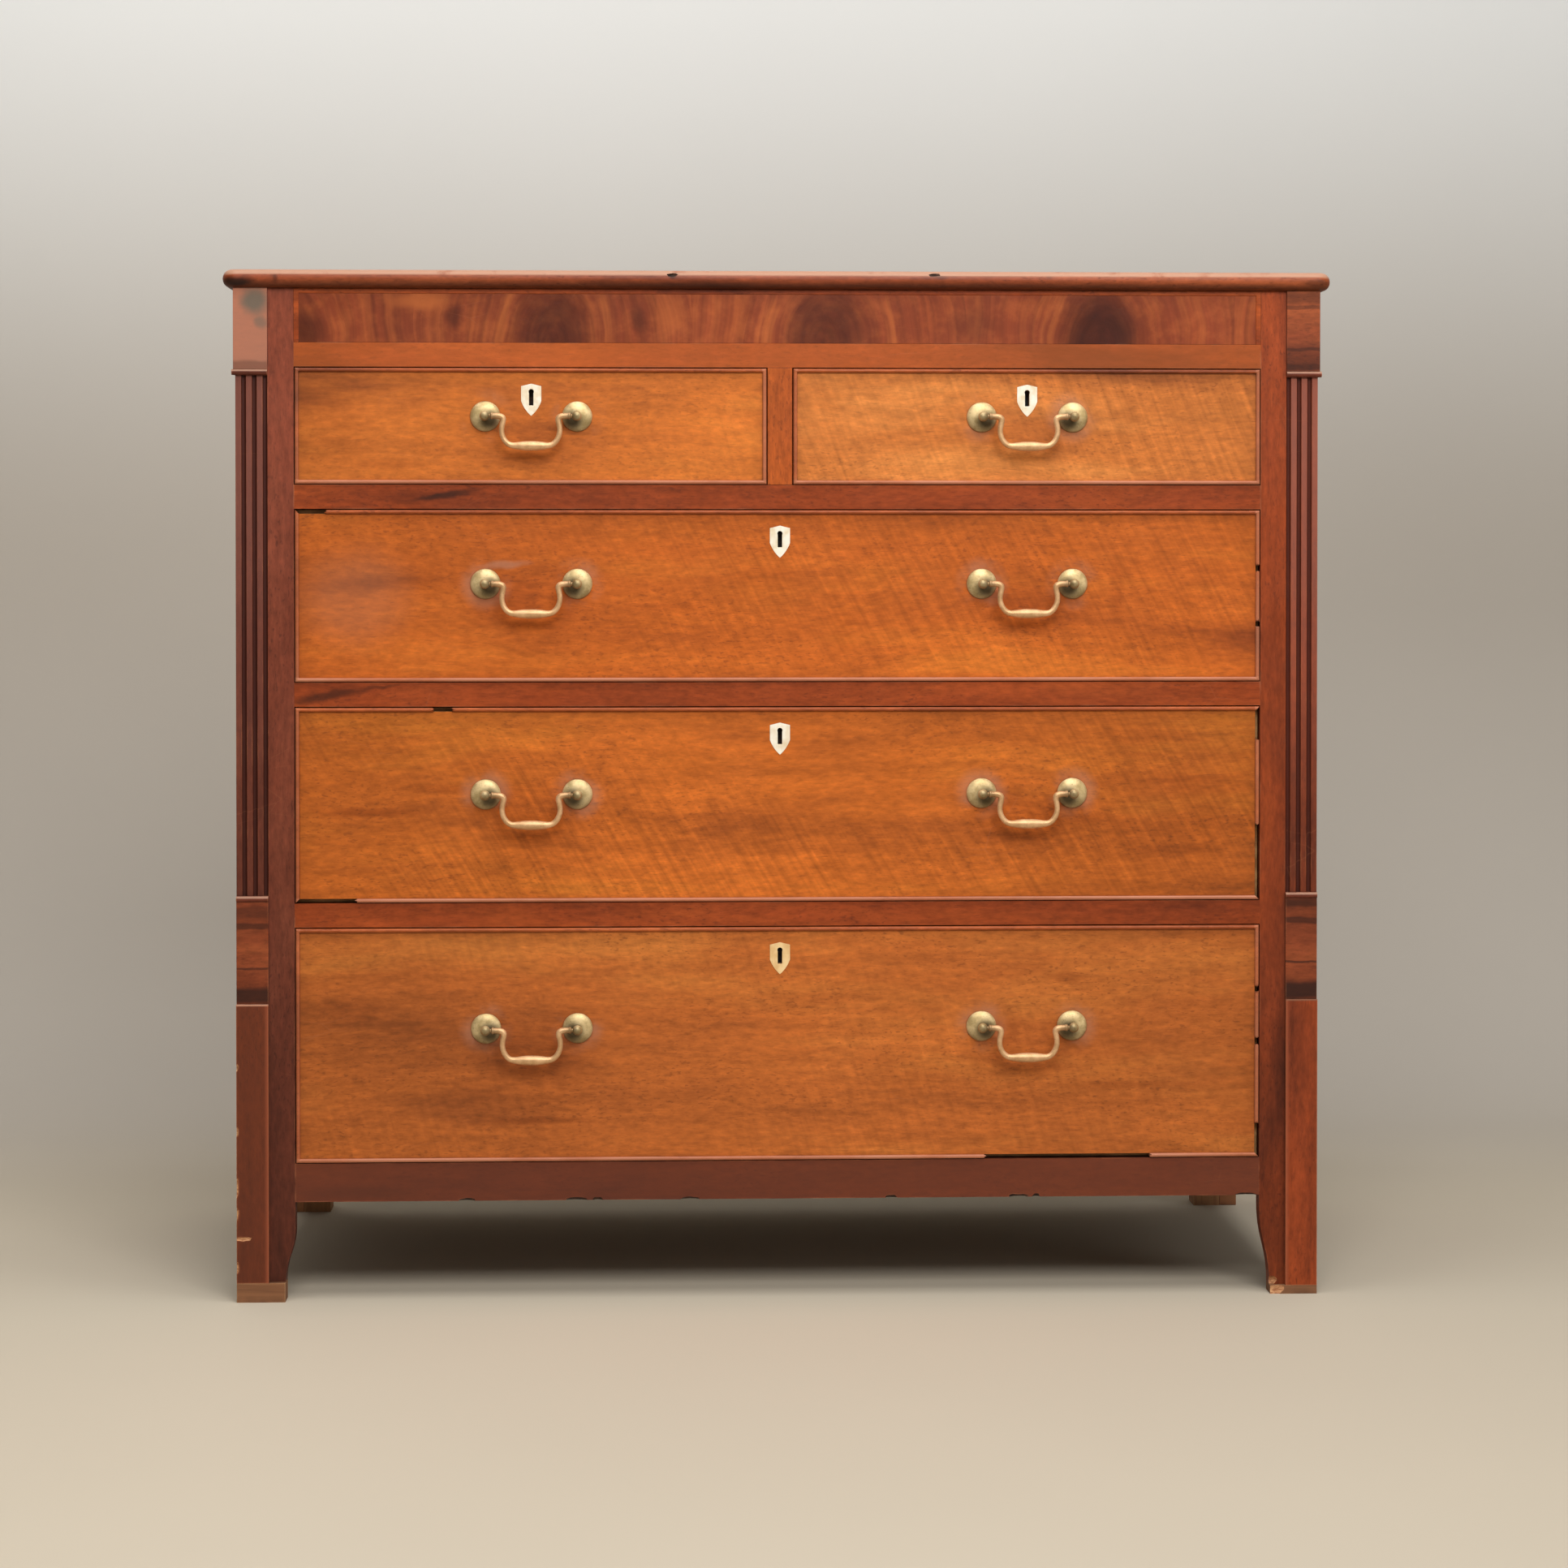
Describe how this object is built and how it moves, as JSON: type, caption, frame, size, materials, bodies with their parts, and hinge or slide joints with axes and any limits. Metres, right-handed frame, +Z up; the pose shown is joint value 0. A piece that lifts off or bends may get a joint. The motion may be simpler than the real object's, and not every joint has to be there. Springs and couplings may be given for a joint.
{
  "type": "chest of drawers",
  "caption": "Free-standing chest of drawers with fluted corner posts, short drawers over long ones, drop handles on round rosettes and inlaid shield escutcheons.",
  "frame": {"origin": "on the floor, under the middle of the chest's box, handles included", "axes": "+Z up, the drawers open towards -Y, +X to the right of someone facing the front"},
  "size_m": [1.152, 0.5467, 1.069],
  "materials": {
    "mahogany_veneer": "french polish, worn",
    "mahogany_frame": "french polish, worn",
    "pine": "raw, aged",
    "brass": "aged",
    "bone": "satin bone",
    "iron": "dark, dull"
  },
  "bodies": {
    "carcase": {"top_board": "mahogany_frame", "side_panels": "mahogany_frame", "rear_posts": "mahogany_frame", "back_boards": "pine", "left_corner_post": "mahogany_frame", "right_corner_post": "mahogany_frame", "corner_blocks": "mahogany_veneer", "corner_astragals": "mahogany_frame", "plinth_facings": "mahogany_frame", "foot_pads": "pine", "frieze_panel": "mahogany_veneer", "front_rails": "mahogany_frame", "centre_divider": "mahogany_frame", "carcase_bottom": "pine", "runners_and_guides": "pine", "drawer_stops": "pine", "glue_blocks": "pine"},
    "short_left_drawer": {"short_left_drawer_front": "mahogany_veneer", "short_left_cock_beads": "mahogany_frame", "short_left_drawer_box": "pine", "short_left_handle_mounts": "brass", "short_left_escutcheon": "bone", "short_left_lock_case": "iron"},
    "short_left_lock_bolt": {"short_left_lock_bolt": "iron"},
    "short_left_bail": {"short_left_bail": "brass"},
    "short_right_drawer": {"short_right_drawer_front": "mahogany_veneer", "short_right_cock_beads": "mahogany_frame", "short_right_drawer_box": "pine", "short_right_handle_mounts": "brass", "short_right_escutcheon": "bone", "short_right_lock_case": "iron"},
    "short_right_lock_bolt": {"short_right_lock_bolt": "iron"},
    "short_right_bail": {"short_right_bail": "brass"},
    "upper_drawer": {"upper_drawer_front": "mahogany_veneer", "upper_cock_beads": "mahogany_frame", "upper_drawer_box": "pine", "upper_handle_mounts": "brass", "upper_escutcheon": "bone", "upper_lock_case": "iron"},
    "upper_lock_bolt": {"upper_lock_bolt": "iron"},
    "upper_bail_left": {"upper_bail_left": "brass"},
    "upper_bail_right": {"upper_bail_right": "brass"},
    "middle_drawer": {"middle_drawer_front": "mahogany_veneer", "middle_cock_beads": "mahogany_frame", "middle_drawer_box": "pine", "middle_handle_mounts": "brass", "middle_escutcheon": "bone", "middle_lock_case": "iron"},
    "middle_lock_bolt": {"middle_lock_bolt": "iron"},
    "middle_bail_left": {"middle_bail_left": "brass"},
    "middle_bail_right": {"middle_bail_right": "brass"},
    "lower_drawer": {"lower_drawer_front": "mahogany_veneer", "lower_cock_beads": "mahogany_frame", "lower_drawer_box": "pine", "lower_handle_mounts": "brass", "lower_escutcheon": "bone", "lower_lock_case": "iron"},
    "lower_lock_bolt": {"lower_lock_bolt": "iron"},
    "lower_bail_left": {"lower_bail_left": "brass"},
    "lower_bail_right": {"lower_bail_right": "brass"}
  },
  "joints": [
    {"name": "short_left_drawer_slide", "type": "slide", "parent": "carcase", "child": "short_left_drawer", "axis": [0, -1, 0], "range_m": [0, 0.4]},
    {"name": "short_left_bolt_throw", "type": "slide", "parent": "short_left_drawer", "child": "short_left_lock_bolt", "axis": [0, 0, 1], "range_m": [0, 0.009]},
    {"name": "short_left_bail_swing", "type": "hinge", "parent": "short_left_drawer", "child": "short_left_bail", "pos_m": [-0.258, -0.26815, 0.9178], "axis": [-1, 0, 0], "range_deg": [-20, 180]},
    {"name": "short_right_drawer_slide", "type": "slide", "parent": "carcase", "child": "short_right_drawer", "axis": [0, -1, 0], "range_m": [0, 0.4]},
    {"name": "short_right_bolt_throw", "type": "slide", "parent": "short_right_drawer", "child": "short_right_lock_bolt", "axis": [0, 0, 1], "range_m": [0, 0.009]},
    {"name": "short_right_bail_swing", "type": "hinge", "parent": "short_right_drawer", "child": "short_right_bail", "pos_m": [0.258, -0.26815, 0.9178], "axis": [-1, 0, 0], "range_deg": [-20, 180]},
    {"name": "upper_drawer_slide", "type": "slide", "parent": "carcase", "child": "upper_drawer", "axis": [0, -1, 0], "range_m": [0, 0.4]},
    {"name": "upper_bolt_throw", "type": "slide", "parent": "upper_drawer", "child": "upper_lock_bolt", "axis": [0, 0, 1], "range_m": [0, 0.009]},
    {"name": "upper_bail_left_swing", "type": "hinge", "parent": "upper_drawer", "child": "upper_bail_left", "pos_m": [-0.258, -0.26815, 0.7443], "axis": [-1, 0, 0], "range_deg": [-20, 180]},
    {"name": "upper_bail_right_swing", "type": "hinge", "parent": "upper_drawer", "child": "upper_bail_right", "pos_m": [0.258, -0.26815, 0.7443], "axis": [-1, 0, 0], "range_deg": [-20, 180]},
    {"name": "middle_drawer_slide", "type": "slide", "parent": "carcase", "child": "middle_drawer", "axis": [0, -1, 0], "range_m": [0, 0.4]},
    {"name": "middle_bolt_throw", "type": "slide", "parent": "middle_drawer", "child": "middle_lock_bolt", "axis": [0, 0, 1], "range_m": [0, 0.009]},
    {"name": "middle_bail_left_swing", "type": "hinge", "parent": "middle_drawer", "child": "middle_bail_left", "pos_m": [-0.258, -0.26815, 0.5258], "axis": [-1, 0, 0], "range_deg": [-20, 180]},
    {"name": "middle_bail_right_swing", "type": "hinge", "parent": "middle_drawer", "child": "middle_bail_right", "pos_m": [0.258, -0.26815, 0.5258], "axis": [-1, 0, 0], "range_deg": [-20, 180]},
    {"name": "lower_drawer_slide", "type": "slide", "parent": "carcase", "child": "lower_drawer", "axis": [0, -1, 0], "range_m": [0, 0.4]},
    {"name": "lower_bolt_throw", "type": "slide", "parent": "lower_drawer", "child": "lower_lock_bolt", "axis": [0, 0, 1], "range_m": [0, 0.009]},
    {"name": "lower_bail_left_swing", "type": "hinge", "parent": "lower_drawer", "child": "lower_bail_left", "pos_m": [-0.258, -0.26815, 0.2823], "axis": [-1, 0, 0], "range_deg": [-20, 180]},
    {"name": "lower_bail_right_swing", "type": "hinge", "parent": "lower_drawer", "child": "lower_bail_right", "pos_m": [0.258, -0.26815, 0.2823], "axis": [-1, 0, 0], "range_deg": [-20, 180]}
  ]
}
